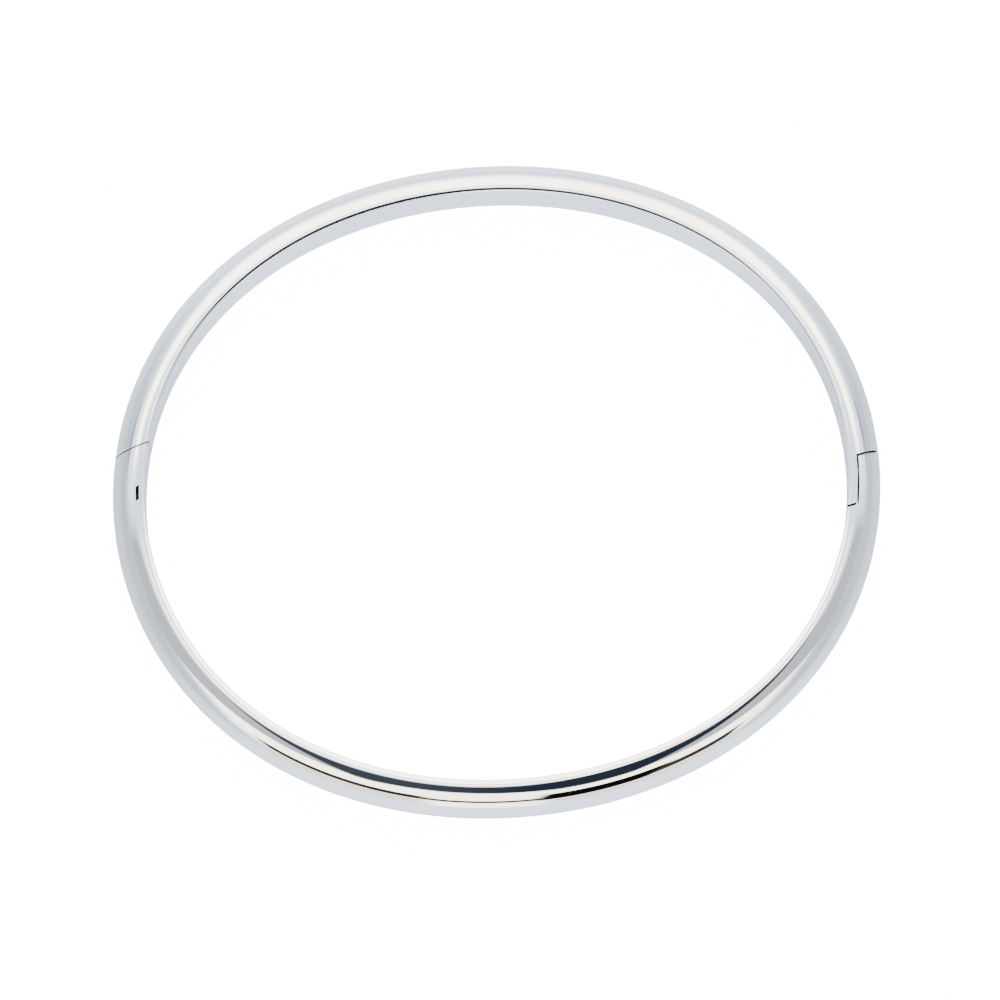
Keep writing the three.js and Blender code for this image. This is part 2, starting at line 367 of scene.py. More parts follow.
def spread_rows(anchors: list[Array], counts: list[int]) -> Array:
    """Rows of angles, evenly spaced between anchor rows.

    Args:
        anchors: One array of angles, an element a column, for each anchor row.
        counts: How many steps lie between each anchor row and the next.

    Returns:
        The angles, rows by columns.
    """
    rows = [
        a + (b - a) * np.arange(n)[:, None] / n for a, b, n in zip(anchors, anchors[1:], counts)
    ]
    return np.concatenate([*rows, anchors[-1][None, :]])


def walled_faces(present: Array, rows: int, columns: int) -> Array:
    """Faces of a wall that closes on itself across its columns and may have openings.

    Vertex i, j of the outer skin is i * columns + j, and the inner skin's vertices
    follow in the same order. Where a present cell meets an absent one, or the end of
    the rows, a rim face joins the two skins.

    Args:
        present: Which cells exist, rows - 1 by columns.
        rows: Rows of vertices.
        columns: Columns of vertices.

    Returns:
        Quads, n by 4.
    """
    i, j = np.nonzero(present)
    step = (j + 1) % columns
    a, b = i * columns + j, (i + 1) * columns + j
    c, d = (i + 1) * columns + step, i * columns + step
    skin = rows * columns
    outer = np.stack([a, b, c, d], axis=1)
    inner = outer[:, ::-1] + skin
    padded = np.pad(present, ((1, 1), (0, 0)))
    neighbours = (
        (a, b, present[i, j - 1]),
        (b, c, padded[i + 2, j]),
        (c, d, present[i, step]),
        (d, a, padded[i, j]),
    )
    rims = [
        np.stack([q, p, p + skin, q + skin], axis=1)[~beside] for p, q, beside in neighbours
    ]
    return np.concatenate([outer, inner, *rims])


@dataclass(frozen=True)
class Plan:
    """Where the bangle's features lie, read from the frame or named here.

    Attributes:
        oval: The line of the wrist face.
        section: The tube's section.
        mid: Height of the middle of the tube.
        pivot: The hinge's axis in plan.
        wall: Thickness of the tube's wall.
        slide: Clearance of the lug in its slot.
        hinge_seam: Gap of the stepped seam at the hinge.
        clasp_seam: Gap of the slanted seam at the clasp.
        step_top: Depth and Y of the hinge seam's upper corner.
        step_low: Depth and Y of its lower corner.
        top_rise: Rise of the hinge seam's upper end, in degrees.
        low_rise: Rise of its lower end.
        eye_radius: Radius of the lug's round end.
        lug_width: Width of the lug along Z.
        clasp_height: Y of the clasp seam at the middle of the tube's depth.
        clasp_rise: Rise of the clasp seam, in degrees.
        window_place: Depth and Y of the catch window's middle.
        window_size: Its width across the tube's side and its length.
        window_slant: Slant of its ends, in degrees.
    """

    oval: Oval
    section: Section
    mid: float
    pivot: tuple[float, float]
    wall: float = 0.3
    slide: float = 0.07
    hinge_seam: float = 0.16
    clasp_seam: float = 0.11
    step_top: tuple[float, float] = (0.85, -0.05)
    step_low: tuple[float, float] = (0.49, -4.25)
    top_rise: float = 16.0
    low_rise: float = 11.0
    eye_radius: float = 1.03
    lug_width: float = 1.5
    clasp_height: float = 5.4
    clasp_rise: float = 15.5
    window_place: tuple[float, float] = (0.56, 1.6)
    window_size: tuple[float, float] = (0.32, 1.2)
    window_slant: float = 30.0

    @classmethod
    def read(cls, frame: dict) -> Plan:
        """Takes the oval, the tube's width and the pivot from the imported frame."""
        far_low, far_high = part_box("far_half_shell")
        near_low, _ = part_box("near_half_shell")
        depth = Section.depth
        hinge = next(j for j in frame["record"]["behaviour"]["joints"] if j["name"] == HINGE)
        place = [value / MM for value in hinge["pos_m"]]
        oval = Oval(
            half_width=-near_low[0] / MM - depth,
            half_depth=far_high[1] / MM - depth,
        )
        width = (far_high[2] - far_low[2]) / MM
        log.info("oval %.2f by %.2f mm", 2 * oval.half_width, 2 * oval.half_depth)
        log.info("outer depth %.2f mm", (far_high[1] - near_low[1]) / MM)
        return cls(
            oval=oval,
            section=Section(half_width=width / 2),
            mid=(far_high[2] + far_low[2]) / 2 / MM,
            pivot=(place[0], place[1]),
        )

    def top_seam(self, half: Half) -> Line:
        """The half's own face at the upper end of the hinge seam."""
        return self._hinge_line(self.step_top, self.top_rise, half)

    def low_seam(self, half: Half) -> Line:
        """The half's own face at the lower end of the hinge seam."""
        return self._hinge_line(self.step_low, self.low_rise, half)

    def _hinge_line(self, corner: tuple[float, float], rise: float, half: Half) -> Line:
        """A hinge seam line through a corner, moved half a gap to the half's side."""
        shift = half.value * self.hinge_seam / 2
        return Line(self.oval.half_width + corner[0] - shift, corner[1] + shift, rise)

    def clasp_face(self, half: Half) -> Line:
        """The half's own face at the clasp seam."""
        middle = -self.oval.half_width - self.section.depth / 2
        height = self.clasp_height + half.value * self.clasp_seam / 2
        return Line(middle, height, self.clasp_rise)

    def step_depth(self, half: Half) -> float:
        """Depth of the half's face along the hinge's step, which is near constant."""
        ends = np.array([self.step_top, self.step_low])
        ends[:, 0] += self.oval.half_width
        middle = float(self.oval.depth_of(ends[:, 0], ends[:, 1]).mean())
        return middle - half.value * self.hinge_seam / 2

    def points(self, t: Array, depth: Array, z: Array) -> Array:
        """Vertices at angles along the oval, at depths and heights from the middle."""
        x, y = self.oval.offset(t, depth)
        return np.stack(np.broadcast_arrays(x, y, self.mid + z), axis=-1).reshape(-1, 3)

    def row_at(self, line: Line, depth: Array, at_clasp: bool, half: Half) -> Array:
        """Angles at which a line in plan cuts every depth.

        Args:
            line: The line.
            depth: Depths of the columns.
            at_clasp: True at the clasp's end of the oval, False at the hinge's.
            half: Which way round the oval the half runs.

        Returns:
            The angles in radians, negative below the hinge on the near half.
        """
        side = -1.0 if at_clasp else 1.0
        centre = half.value * math.pi if at_clasp else 0.0
        return find_zero(
            lambda t: side * line.above(*self.oval.offset(t, depth)),
            centre - CUT_REACH,
            centre + CUT_REACH,
            depth.shape,
        )


@dataclass
class ShellHalf:
    """One hollow half of the bangle, with both its skins and its openings."""

    plan: Plan
    half: Half
    steps: tuple[int, ...]
    edge: float = 0.015
    loop: Loop = field(init=False)

    def build(self) -> bpy.types.Object:
        """Builds the half's mesh from its rows, columns and openings."""
        section = self.plan.section
        self.loop = Loop.make(self.stops())
        outer = self.loop.points(section)
        inner = self.loop.points(section, self.plan.wall)
        outer_rows = spread_rows(self.anchors(*outer), list(self.steps))
        inner_rows = spread_rows(self.anchors(*inner), list(self.steps))
        points = np.concatenate([
            self.plan.points(outer_rows, *outer),
            self.plan.points(inner_rows, *inner),
        ])
        rows, columns = outer_rows.shape
        present = self.cells(rows - 1, columns)
        faces = walled_faces(present, rows, columns)
        skin = present.sum()
        # The inner skin and the rims take the second material, painted near black as the shade in
        # the seams and the hollow.
        finish = (np.arange(len(faces)) >= skin).astype(int)
        made = closed_mesh(f"{self.half.name.lower()}_half_tube", points, faces, finish)
        round_edges(made, self.edge)
        return made

    def stops(self) -> list[float]:
        """Dome angles on which columns must lie."""
        raise NotImplementedError

    def anchors(self, depth: Array, z: Array) -> list[Array]:
        """Anchor rows of one skin."""
        raise NotImplementedError

    def cells(self, rows: int, columns: int) -> Array:
        """Which cells of the grid are metal."""
        raise NotImplementedError

    def turn_at(self, depth: float) -> float:
        """Dome angle at which the outer skin has a depth, on the upper side."""
        section = self.plan.section
        return math.asin((depth - section.root) / (section.depth - section.root))

    def between(self, low: float, high: float) -> Array:
        """Columns whose cell, up to the next column, lies between two dome angles."""
        value = self.loop.value
        return (self.loop.part == Part.DOME) & (value > low - TINY) & (value < high - TINY)


@dataclass
class FarHalf(ShellHalf):
    """The half with the tongue; its end at the hinge has a slot and an inner strip."""

    half: Half = Half.FAR
    steps: tuple[int, ...] = (230, 12, 14)

    @property
    def slot_half_width(self) -> float:
        """Half the width of the slot round the lug."""
        return self.plan.lug_width / 2 + self.plan.slide

    def stops(self) -> list[float]:
        """The step's and the slot's sides."""
        step = self.turn_at(self.plan.step_depth(self.half))
        slot = math.acos(self.slot_half_width / self.plan.section.half_width)
        return [step, slot, math.pi - slot, math.pi - step]

    def anchors(self, depth: Array, z: Array) -> list[Array]:
        """Clasp face, slot end, upper seam and lower seam."""
        plan = self.plan
        inside = np.abs(z) <= self.slot_half_width + SLOT_SLACK
        slot_depth = depth[inside & (self.loop.part == Part.DOME)]
        held = np.clip(depth, slot_depth.min(), slot_depth.max())
        radius = plan.eye_radius + plan.slide + SLOT_RELIEF
        start = math.asin(plan.pivot[1] / (plan.oval.half_depth + plan.section.depth))

        def beyond_eye(t: Array) -> Array:
            """How far points at the held depths lie outside the slot's round end."""
            x, y = plan.oval.offset(t, held)
            return np.hypot(x - plan.pivot[0], y - plan.pivot[1]) - radius

        return [
            plan.row_at(plan.clasp_face(self.half), depth, True, self.half),
            find_zero(beyond_eye, start, start + EYE_REACH, depth.shape),
            plan.row_at(plan.top_seam(self.half), depth, False, self.half),
            plan.row_at(plan.low_seam(self.half), depth, False, self.half),
        ]

    def cells(self, rows: int, columns: int) -> Array:
        """All, less the slot, and only the inner strip beyond the upper seam."""
        present = np.ones((rows, columns), dtype=bool)
        step, slot, slot_end, strip_end = self.stops()
        slot_start, tab_start = self.steps[0], self.steps[0] + self.steps[1]
        present[slot_start:tab_start, self.between(slot, slot_end)] = False
        present[tab_start:, self.between(step, strip_end)] = False
        return present


@dataclass
class NearHalf(ShellHalf):
    """The half with the catch window; an outer strip runs on at its hinge end."""

    half: Half = Half.NEAR
    steps: tuple[int, ...] = (16, 220, 5, 14)

    def window_reach(self) -> tuple[float, float]:
        """Least and greatest depth of the window."""
        plan = self.plan
        x = -plan.oval.half_width - plan.window_place[0]
        middle = float(plan.oval.depth_of(np.array([x]), np.array([plan.window_place[1]]))[0])
        return middle - plan.window_size[0] / 2, middle + plan.window_size[0] / 2

    def stops(self) -> list[float]:
        """The step's sides and the window's two long sides."""
        step = self.turn_at(self.plan.step_depth(self.half))
        low, high = (self.turn_at(depth) for depth in self.window_reach())
        return [low, high, step, math.pi - step]

    def anchors(self, depth: Array, z: Array) -> list[Array]:
        """Upper seam, lower seam, window's near end, its far end and clasp face."""
        plan = self.plan
        held = np.clip(depth, *self.window_reach())
        x = -plan.oval.half_width - plan.window_place[0]
        reach = plan.window_size[1] / 2
        ends = [
            Line(x, plan.window_place[1] + sign * reach, plan.window_slant) for sign in (-1, 1)
        ]
        return [
            plan.row_at(plan.top_seam(self.half), depth, False, self.half),
            plan.row_at(plan.low_seam(self.half), depth, False, self.half),
            plan.row_at(ends[0], held, True, self.half),
            plan.row_at(ends[1], held, True, self.half),
            plan.row_at(plan.clasp_face(self.half), depth, True, self.half),
        ]

    def cells(self, rows: int, columns: int) -> Array:
        """All, less the window, and only the outer strip above the lower seam."""
        present = np.ones((rows, columns), dtype=bool)
        step = self.turn_at(self.plan.step_depth(self.half))
        low, high = (self.turn_at(depth) for depth in self.window_reach())
        strip = self.between(step, math.pi - step)
        present[: self.steps[0], ~strip] = False
        start = self.steps[0] + self.steps[1]
        present[start : start + self.steps[2], self.between(low, high)] = False
        return present


# ---------------------------------------------------------------- shading


class Shade:
    """A shader socket with arithmetic, so that a pattern reads as a formula."""

    def __init__(self, tree: bpy.types.NodeTree, socket: bpy.types.NodeSocket) -> None:
        """Wraps a socket of a tree."""
        self.tree = tree
        self.socket = socket

    def node(self, kind: str, settings: dict | None = None, **inputs: object) -> Shade:
        """Adds a node and returns its first live output.

        Args:
            kind: The node's type, without the leading "ShaderNode".
            settings: Properties of the node, set before its inputs.
            inputs: Values or shades for its inputs. A name's underscores stand for
                spaces, and a name such as i0 is an input's number.

        Returns:
            The node's first enabled output.
        """
        return add_node(self.tree, kind, settings, **inputs)

    def math(self, operation: str, other: Shade | float = 0.0) -> Shade:
        """A Math node on this value and another."""
        return self.node("Math", {"operation": operation}, i0=self, i1=other)

    def __add__(self, other: Shade | float) -> Shade:
        """Sum."""
        return self.math("ADD", other)

    def __radd__(self, other: float) -> Shade:
        """Sum with a number on the left."""
        return self + other

    def __sub__(self, other: Shade | float) -> Shade:
        """Difference."""
        return self.math("SUBTRACT", other)

    def __rsub__(self, other: float) -> Shade:
        """A number less this value."""
        return self * -1.0 + other

    def __mul__(self, other: Shade | float) -> Shade:
        """Product."""
        return self.math("MULTIPLY", other)

    def __rmul__(self, other: float) -> Shade:
        """Product with a number on the left."""
        return self * other

    def __truediv__(self, other: Shade | float) -> Shade:
        """Quotient."""
        return self.math("DIVIDE", other)

    def __rtruediv__(self, other: float) -> Shade:
        """A number divided by this value."""
        return (self**-1.0) * other

    def __pow__(self, power: float) -> Shade:
        """Power."""
        return self.math("POWER", power)

    def ramp(self, low: float, high: float) -> Shade:
        """Rises smoothly from 0 to 1 as the value goes from low to high."""
        settings = {"interpolation_type": "SMOOTHSTEP"}
        return self.node("MapRange", settings, i0=self, i1=low, i2=high, i3=0.0, i4=1.0)

    def band(self, low: float, high: float, soft: float) -> Shade:
        """Is 1 between two values and fades to 0 beyond them.

        Args:
            low: Lower edge.
            high: Upper edge.
            soft: Width over which each edge fades, half inside and half outside.
        """
        rise = self.ramp(low - soft / 2, low + soft / 2)
        return rise * (1.0 - self.ramp(high - soft / 2, high + soft / 2))

    def parts(self) -> tuple[Shade, Shade, Shade]:
        """The X, Y and Z of a vector."""
        outputs = self.node("SeparateXYZ", None, Vector=self).socket.node.outputs
        return tuple(Shade(self.tree, outputs[k]) for k in range(3))

    def tint(self, low: tuple[float, ...], high: tuple[float, ...]) -> Shade:
        """A colour between two, by this value from 0 to 1."""
        return mix_colours(self, low, high)


def add_node(
    tree: bpy.types.NodeTree, kind: str, settings: dict | None = None, **inputs: object
) -> Shade:
    """Adds a shader node to a tree.

    Args:
        tree: The node tree.
        kind: The node's type, without the leading "ShaderNode".
        settings: Properties of the node.
        inputs: Values or shades, by socket name or by number after an i.

    Returns:
        The node's first enabled output.
    """
    node = tree.nodes.new(f"ShaderNode{kind}")
    for key, value in (settings or {}).items():
        setattr(node, key, value)
    for key, value in inputs.items():
        numbered = key[0] == "i" and key[1:].isdigit()
        socket = node.inputs[int(key[1:])] if numbered else node.inputs[key.replace("_", " ")]
        if isinstance(value, Shade):
            tree.links.new(value.socket, socket)
        else:
            socket.default_value = value
    live = next((out for out in node.outputs if out.enabled), None)
    return Shade(tree, live)


def output_of(tree: bpy.types.NodeTree, kind: str, name: str) -> Shade:
    """A named output of a new node that has no inputs to set."""
    return Shade(tree, add_node(tree, kind).socket.node.outputs[name])


def mix_colours(
    share: Shade | float, low: Shade | tuple[float, ...], high: Shade | tuple[float, ...]
) -> Shade:
    """Mixes two colours by a share from 0 to 1."""
    tree = next(v.tree for v in (share, low, high) if isinstance(v, Shade))
    settings = {"data_type": "RGBA", "clamp_factor": True}
    return add_node(tree, "Mix", settings, i0=share, i6=low, i7=high)


# Noise scales per metre, turns of the scratches about Z, and what each mark adds.
CLOUD_STRETCH = (120.0, 120.0, 120.0)
WAVE_STRETCH = (95.0, 95.0, 60.0)
HAIR_STRETCH = (500.0, 9000.0, 500.0)
HAIR_TURNS = (0.5, 2.1)
CLOUD_SHARE = 0.6
HAIR_SHARE = 0.4
GRAIN_SHARE = 0.25
# Soft edge of the band beyond which the lug's plug is painted near black, and that painted
# shade's colour.
PLUG_FADE = 0.05
PLUG_DARK: Colour = (0.04, 0.04, 0.042, 1.0)


@dataclass(frozen=True)
class Metal:
    """A bare metal finish: its colour, its polish and its small marks.

    Attributes:
        name: The finish's name.
        colour: The metal's colour.
        worn: The colour of its rubbed or dulled patches.
        roughness: Least and greatest roughness.
        scratch: Depth of the fine scratches, in millimetres.
        wave: Depth of the slow waves left by hand polishing, in millimetres.
        lay: Stretch of the scratches along X, Y and Z, per metre.
        haze: Roughness added where a hairline scratch runs.
        bright_within: Heights, in millimetres, between which the piece keeps its bright colour;
        beyond them its colour is painted near black, a painted shade on the plug inside the tube.
        All of it keeps its colour if left out.
    """

    name: str
    colour: Colour
    worn: Colour
    roughness: tuple[float, float]
    scratch: float
    wave: float
    lay: tuple[float, float, float]
    haze: float = 0.0
    bright_within: tuple[float, float] | None = None

    def make(self) -> bpy.types.Material:
        """Builds the material."""
        material = bpy.data.materials.new(self.name)
        material.use_nodes = True
        tree = material.node_tree
        tree.nodes.clear()
        place = output_of(tree, "TexCoord", "Object")
        cloud = self.noise(place, CLOUD_STRETCH, 3.0)
        fine = self.noise(place, self.lay, 2.0)
        hair = self.hairs(place, HAIR_TURNS[0]) + self.hairs(place, HAIR_TURNS[1])
        dull = cloud.ramp(0.42, 0.72) * CLOUD_SHARE + hair * HAIR_SHARE
        low, high = self.roughness
        spread = high - low
        rough = dull * spread + fine * spread * GRAIN_SHARE + hair * self.haze + low
        slow = self.noise(place, WAVE_STRETCH, 0.0)
        relief = slow * self.wave + (fine - hair) * self.scratch
        bump = place.node("Bump", None, Strength=1.0, Distance=MM, Height=relief)
        shader = add_node(
            tree,
            "BsdfPrincipled",
            None,
            Base_Color=self.paint(place, dull),
            Metallic=1.0,
            Roughness=rough,
            Normal=bump,
        )
        add_node(tree, "OutputMaterial", None, Surface=shader)
        return material

    def paint(self, place: Shade, dull: Shade) -> Shade:
        """Colour of the metal, by its dullness and, if asked, painted shade beyond a band of
        heights.
        """
        bare = dull.tint(self.colour, self.worn)
        if self.bright_within is None:
            return bare
        low, high = (value * MM for value in self.bright_within)
        _, _, height = place.parts()
        # Beyond the band the colour is painted near black: painted shade on the plug inside the
        # tube.
        return mix_colours(height.band(low, high, PLUG_FADE * MM), PLUG_DARK, bare)

    def noise(self, place: Shade, stretch: tuple[float, float, float], detail: float) -> Shade:
        """Noise from 0 to 1, stretched by a scale along each axis, per metre."""
        at = place.node("Mapping", None, Vector=place, Scale=stretch)
        return at.node("TexNoise", None, Vector=at, Scale=1.0, Detail=detail)

    def hairs(self, place: Shade, turn: float) -> Shade:
        """Sparse hairline marks: thin crests of a stretched noise, turned about Z."""
        at = place.node("Mapping", None, Vector=place, Rotation=(0.0, 0.0, turn))
        at = at.node("Mapping", None, Vector=at, Scale=HAIR_STRETCH)
        crest = at.node("TexNoise", None, Vector=at, Scale=1.0, Detail=1.0)
        return crest.ramp(0.67, 0.77)


POLISHED = Metal(
    name="mirror-polished white metal",
    colour=(0.87, 0.868, 0.865, 1.0),
    worn=(0.82, 0.82, 0.825, 1.0),
    roughness=(0.012, 0.03),
    scratch=0.00012,
    wave=0.012,
    lay=(6000.0, 6000.0, 900.0),
    haze=0.07,
)
INNER = Metal(
    name="pickled inner metal",
    colour=(0.1, 0.1, 0.103, 1.0),
    worn=(0.06, 0.06, 0.062, 1.0),
    roughness=(0.26, 0.42),
    scratch=0.0012,
    wave=0.004,
    lay=(5000.0, 900.0, 5000.0),
)
STEEL = Metal(
    name="ground pin steel",
    colour=(0.6, 0.6, 0.62, 1.0),
    worn=(0.45, 0.45, 0.47, 1.0),
    roughness=(0.15, 0.28),
    scratch=0.0008,
    wave=0.0,
    lay=(700.0, 700.0, 9000.0),
)
SPRING = Metal(
    name="hard-rolled tongue metal",
    colour=(0.78, 0.775, 0.765, 1.0),
    worn=(0.62, 0.62, 0.62, 1.0),
    roughness=(0.14, 0.27),
    scratch=0.0008,
    wave=0.002,
    lay=(9000.0, 600.0, 9000.0),
)
# The lug keeps the polished colour; the plug above and below it is painted near black as shade
# inside the tube.
LUG = replace(POLISHED, name="polished lug on a dull plug", bright_within=(1.6, 3.2))
# Near black paint for the tubes' rims and inner skin: painted shade in the seams, the openings
# and the hollow, not the metal's own colour.
SEAM_FACE = Metal(
    name="dull sawn seam faces",
    colour=(0.03, 0.03, 0.031, 1.0),
    worn=(0.015, 0.015, 0.016, 1.0),
    roughness=(0.4, 0.6),
    scratch=0.002,
    wave=0.0,
    lay=(3000.0, 3000.0, 3000.0),
)
BLACK_SPRING = Metal(
    name="blackened spring steel",
    colour=(0.012, 0.012, 0.013, 1.0),
    worn=(0.03, 0.03, 0.031, 1.0),
    roughness=(0.3, 0.5),
    scratch=0.001,
    wave=0.0,
    lay=(9000.0, 600.0, 9000.0),
)
# Finishes by material slot, with one for the leaf alone and one for the tubes' rims and inner
# skin, which paints them near black as shade.
FINISHES = {
    "polished_shell": POLISHED,
    "polished_lug": LUG,
    "inner_metal": INNER,
    "pin_steel": STEEL,
    "tongue_metal": SPRING,
    "catch_leaf": BLACK_SPRING,
    "seam_face": SEAM_FACE,
}


# ---------------------------------------------------------------- studio

WARM_PANEL: Colour = (6.9, 6.5, 5.6, 1.0)
FRONT_PANEL: Colour = (5.4, 5.0, 4.2, 1.0)
WARM_WALL: Colour = (2.1, 2.05, 1.85, 1.0)
GLARE: Colour = (4.8, 4.6, 4.3, 1.0)
COOL_WALL: Colour = (1.85, 2.1, 2.55, 1.0)
SIDE_WALL: Colour = (0.98, 1.12, 1.38, 1.0)
STAND: Colour = (0.2, 0.25, 0.34, 1.0)
GREY_GAP: Colour = (0.86, 0.9, 0.98, 1.0)
DARK_GAP: Colour = (0.012, 0.022, 0.045, 1.0)
BLACK_BAR: Colour = (0.006, 0.006, 0.007, 1.0)
FLOOR_LIGHT: Colour = (1.15, 1.4, 1.85, 1.0)
FLOOR_SIDE: Colour = (0.2, 0.32, 0.55, 1.0)
# The camera's gap: its place and half width across, how it narrows by the degree, the
# arch at its foot, the step in its top, and its darkness, greater on the right.
GAP_CENTRE, GAP_HALF_WIDTH, GAP_TAPER = 0.01, 0.225, 0.0008
ARCH_CENTRE, ARCH_RISE, ARCH_TOP = -0.04, 260.0, 6.5
GAP_STEP = 5.0
GAP_SHADE, GAP_DEEPER = 0.94, 0.045
FLOOR_PAINT: Colour = (0.4, 0.4, 0.4, 1.0)
WHITE: Colour = (1.0, 1.0, 1.0, 1.0)
BACKDROP: Colour = (16.0, 16.0, 16.0, 1.0)
FLOOR_BRIGHT = 15.0
# Half the floor's side, in metres, and the square of its evenly lit core's radius.
FLOOR_REACH, FLOOR_CORE = 1.5, 0.0006
# Sideways directions between which the walls and the floor's glow grow dimmer.
SIDE_FADE = (0.5, 0.92)


@dataclass(frozen=True)
class Panel:
    """A panel of the tent, even about the camera's upright plane.

    Attributes:
        colour: Its light.
        lean: Lower edge, upper edge and softness, in degrees of lean.
        sides: Sideways directions between which it fades out.
    """

    colour: Colour
    lean: tuple[float, float, float]
    sides: tuple[float, float]

    def share(self, lean: Shade, side: Shade) -> Shade:
        """How far the panel covers each direction."""
        return lean.band(*self.lean) * (1.0 - side.ramp(*self.sides))


@dataclass(frozen=True)
class BarPart:
    """A stretch of the dark bar: its lean, its span across and its darkness."""

    lean: tuple[float, float, float]
    across: tuple[float, float, float]
    share: float

    def shade(self, lean: Shade, across: Shade) -> Shade:
        """How far the stretch covers each direction."""
        return lean.band(*self.lean) * across.band(*self.across) * self.share


# The flare behind the camera's gap, the front, its apron and the glare, in order.
FRONT_PANELS = (
    Panel(FRONT_PANEL, (7, 13, 2), (0.08, 0.2)),
    Panel(FRONT_PANEL, (-69, -25.5, 7), (0.6, 0.82)),
    Panel(WARM_WALL, (-112, -67, 16), (0.55, 0.75)),
    Panel(GLARE, (-94, -66, 9), (0.11, 0.2)),
)
# The bar's thick core, its right, its left and its thin middle.
BAR_PARTS = (
    BarPart((-69.5, -45, 3), (0.12, 0.43, 0.05), 1.0),
    BarPart((-67, -49, 3), (0.3, 0.65, 0.05), 0.99),
    BarPart((-67, -53, 3), (-0.63, -0.13, 0.08), 0.992),
    BarPart((-67, -58, 3), (-0.2, 0.2, 0.05), 0.985),
)


@dataclass(frozen=True)
class Studio:
    """A light tent over a pale floor, with the camera looking steeply down.

    Angles are in degrees. The tent's own directions are: across, to the right of the
    camera; back, away from it; and up.
    """

    azimuth: float = -4.65
    elevation: float = 75.9
    distance: float = 0.8
    frame_width: float = 0.08486
    aim: tuple[float, float] = (0.00028, -0.00087)
    sensor: float = 36.0

    def build(self, plan: Plan) -> None:
        """Adds the camera, the floor and the tent's light."""
        self.add_camera(plan)
        self.add_floor()
        self.add_tent()

    def add_camera(self, plan: Plan) -> None:
        """Adds the camera, aimed near the middle of the oval at mid height."""
        a, e = math.radians(self.azimuth), math.radians(self.elevation)
        back = Vector((math.sin(a) * math.cos(e), -math.cos(a) * math.cos(e), math.sin(e)))
        right = Vector((math.cos(a), math.sin(a), 0.0))
        up = back.cross(right)
        target = Vector((0.0, 0.0, plan.mid * MM)) + right * self.aim[0] + up * self.aim[1]
        lens = bpy.data.cameras.new("camera")
        lens.sensor_width = self.sensor
        lens.lens = self.sensor * self.distance / self.frame_width
        lens.clip_start, lens.clip_end = 0.01, 10.0
        camera = bpy.data.objects.new("camera", lens)
        camera.location = target + back * self.distance
        camera.rotation_euler = (-back).to_track_quat("-Z", "Y").to_euler()
        bpy.context.scene.collection.objects.link(camera)
        bpy.context.scene.camera = camera

    def add_floor(self) -> None:
        """Adds a wide pale floor that stays near white under the camera."""
        signs = ((-1, -1), (1, -1), (1, 1), (-1, 1))
        corners = [(x * FLOOR_REACH, y * FLOOR_REACH, 0.0) for x, y in signs]
        mesh = bpy.data.meshes.new("pale floor")
        mesh.from_pydata(corners, [], [(0, 1, 2, 3)])
        floor = bpy.data.objects.new("pale floor", mesh)
        bpy.context.scene.collection.objects.link(floor)
        material = bpy.data.materials.new("pale floor")
        material.use_nodes = True
        tree = material.node_tree
        tree.nodes.clear()
        paint = add_node(tree, "BsdfDiffuse", None, Color=FLOOR_PAINT)
        bright = add_node(tree, "Emission", None, Color=WHITE, Strength=FLOOR_BRIGHT)
        x, y, _ = output_of(tree, "TexCoord", "Object").parts()
        side = x.math("ABSOLUTE") / (x * x + y * y + FLOOR_CORE) ** 0.5
        fall = mix_colours(side.ramp(*SIDE_FADE), FLOOR_LIGHT, FLOOR_SIDE)
        glow = add_node(tree, "Emission", None, Color=fall, Strength=1.0)
        path = output_of(tree, "LightPath", "Is Camera Ray")
        shine = add_node(tree, "MixShader", None, i0=path, i1=glow, i2=bright)
        mixed = add_node(tree, "AddShader", None, i0=paint, i1=shine)
        add_node(tree, "OutputMaterial", None, Surface=mixed)
        mesh.materials.append(material)

    def add_tent(self) -> None:
        """Adds the tent: soft panels of light, and the camera's dark gap between them."""
        world = bpy.data.worlds.new("light tent")
        world.use_nodes = True
        bpy.context.scene.world = world
        tree = world.node_tree
        tree.nodes.clear()
        way = output_of(tree, "TexCoord", "Generated")
        turn = (0.0, 0.0, -math.radians(self.azimuth))
        across, back, up = way.node("Mapping", None, Vector=way, Rotation=turn).parts()
        lean = back.math("ARCTAN2", up) * (180 / math.pi)
        colour = self.panels(across, lean, up)
        path = output_of(tree, "LightPath", "Is Camera Ray")
        shown = mix_colours(path, colour, BACKDROP)
        light = add_node(tree, "Background", None, Color=shown, Strength=1.0)
        add_node(tree, "OutputWorld", None, Surface=light)

    def panels(self, across: Shade, lean: Shade, up: Shade) -> Shade:
        """Colour of the tent in every direction.

        Args:
            across: Sideways part of the direction, from -1 to 1.
            lean: Angle from straight up towards the back, in degrees.
            up: Upward part of the direction.

        Returns:
            The colour, brighter than 1 where a panel shines.
        """
        side = across.math("ABSOLUTE")
        walls = mix_colours(side.ramp(*SIDE_FADE), COOL_WALL, SIDE_WALL)
        rear = lean.ramp(15, 20) * (1.0 - lean.ramp(46, 78)) * (1.0 - side.ramp(0.34, 0.56))
        smear = lean.band(16, 34, 12) * side.band(0.4, 0.8, 0.2) * 0.15
        lit = mix_colours(rear + smear, walls, WARM_PANEL)
        upper = lean - side.ramp(0.15, 0.4) * 9.0
        middle = lean.ramp(-27, -23) * (1.0 - upper.ramp(0, 5)) * (1.0 - side.ramp(0.74, 0.9))
        lit = mix_colours(middle, lit, GREY_GAP)
        for panel in FRONT_PANELS:
            lit = mix_colours(panel.share(lean, side), lit, panel.colour)
        stand = side.band(0.7, 0.84, 0.06) * lean.band(30, 44, 8) * 0.6
        lit = mix_colours(stand, lit, STAND)
        lit = mix_colours(self.camera_gap(across, lean), lit, DARK_GAP)
        lit = mix_colours(self.dark_bar(across, lean), lit, BLACK_BAR)
        return mix_colours(up.ramp(-0.05, 0.05), walls, lit)

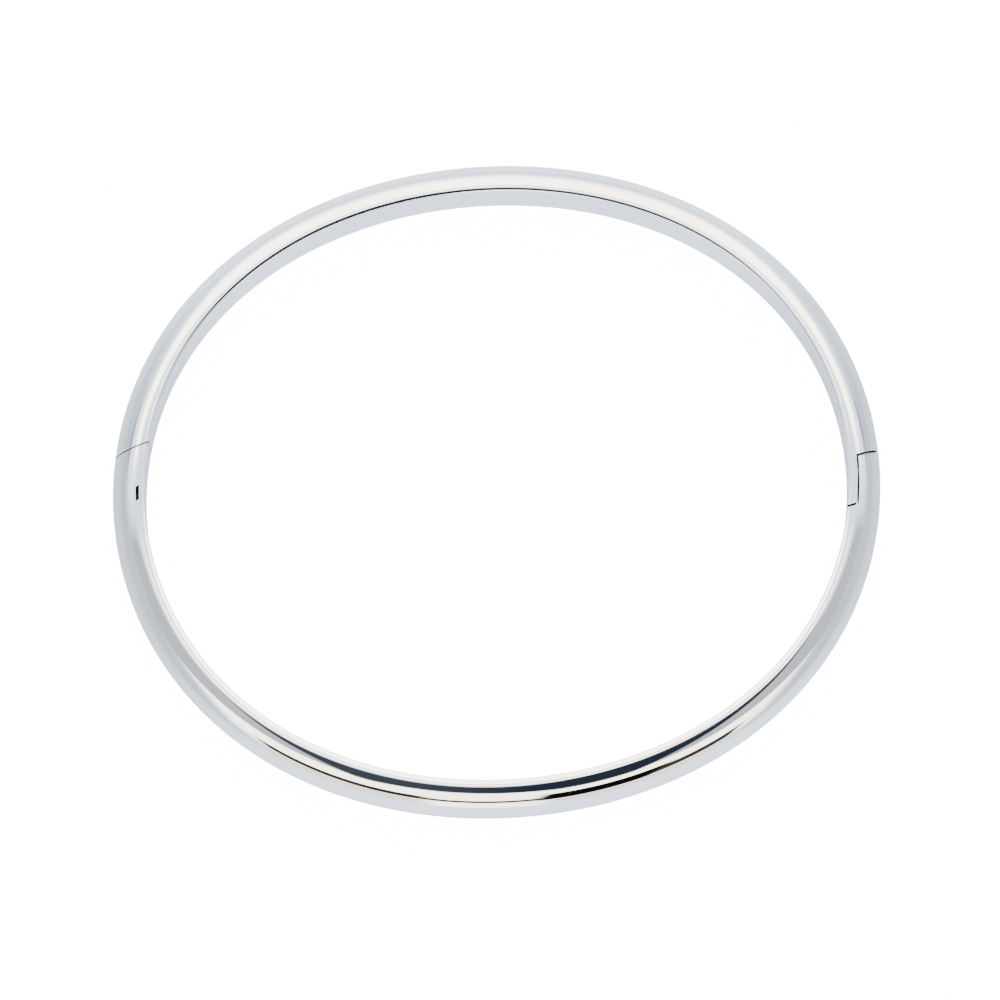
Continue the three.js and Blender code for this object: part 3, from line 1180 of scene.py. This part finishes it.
    def camera_gap(self, across: Shade, lean: Shade) -> Shade:
        """Share of the dark gap round the camera: wider in front, split at its foot."""
        half = GAP_HALF_WIDTH - lean * GAP_TAPER
        inside = 1.0 - ((across - GAP_CENTRE).math("ABSOLUTE") - half).ramp(-0.02, 0.02)
        aside = across - ARCH_CENTRE
        arch = (aside * aside * ARCH_RISE).math("MINIMUM", ARCH_TOP)
        low = (lean + arch).ramp(-25, -21)
        top = 1.0 - (lean - across.ramp(0.0, 0.08) * GAP_STEP).ramp(1, 6)
        shade = GAP_SHADE + across.ramp(-0.06, 0.06) * GAP_DEEPER
        return inside * low * top * shade

    def dark_bar(self, across: Shade, lean: Shade) -> Shade:
        """Share of the dark bar across the front: thick right, thinner left."""
        bar, *others = (part.shade(lean, across) for part in BAR_PARTS)
        for other in others:
            bar = bar.math("MAXIMUM", other)
        return bar


# ---------------------------------------------------------------- assembly


# The finish of every node that keeps its own shape.
INNER_SLOTS = {
    "hinge_fork": "inner_metal",
    "clasp_plug": "inner_metal",
    "receiver_channel": "inner_metal",
    "hinge_pin": "pin_steel",
    "leaf_rivet": "pin_steel",
    "tongue_blade": "tongue_metal",
    "catch_leaf": "catch_leaf",
    "hinge_lug": "polished_lug",
}


@dataclass
class Bangle:
    """The whole bangle: rebuilt halves over the frame's inner pieces."""

    plan: Plan
    frame: dict
    materials: dict[str, bpy.types.Material] = field(default_factory=dict)

    def build(self) -> None:
        """Builds every piece and dresses it."""
        self.materials = {slot: metal.make() for slot, metal in FINISHES.items()}
        self.add_half(FarHalf(self.plan), "far_half", "far_half_shell")
        self.add_half(NearHalf(self.plan), "near_half", "near_half_shell")
        self.dress_inner_pieces()

    def add_half(self, shell: ShellHalf, body: str, node: str) -> None:
        """Builds a half in place of its node."""
        made = shell.build()
        # The second material is painted shade: near black on the rims and the inner skin.
        for finish in ("polished_shell", "seam_face"):
            made.data.materials.append(self.materials[finish])
        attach(made, body)
        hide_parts(node)
        log.info("%s: %d faces", made.name, len(made.data.polygons))

    def dress_inner_pieces(self) -> None:
        """Gives every node that is still shown its finish."""
        for name, slot in INNER_SLOTS.items():
            node = self.frame["nodes"][name]
            node.data.materials.clear()
            node.data.materials.append(self.materials[slot])
            log.info("%s dressed as %s", name, slot)


def main() -> None:
    """Builds the bangle's looks and the studio round the frame."""
    logging.basicConfig(level=logging.INFO, format="%(name)s: %(message)s")
    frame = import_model()
    plan = Plan.read(frame)
    Bangle(plan, frame).build()
    Studio().build(plan)


if __name__ == "__main__":
    main()
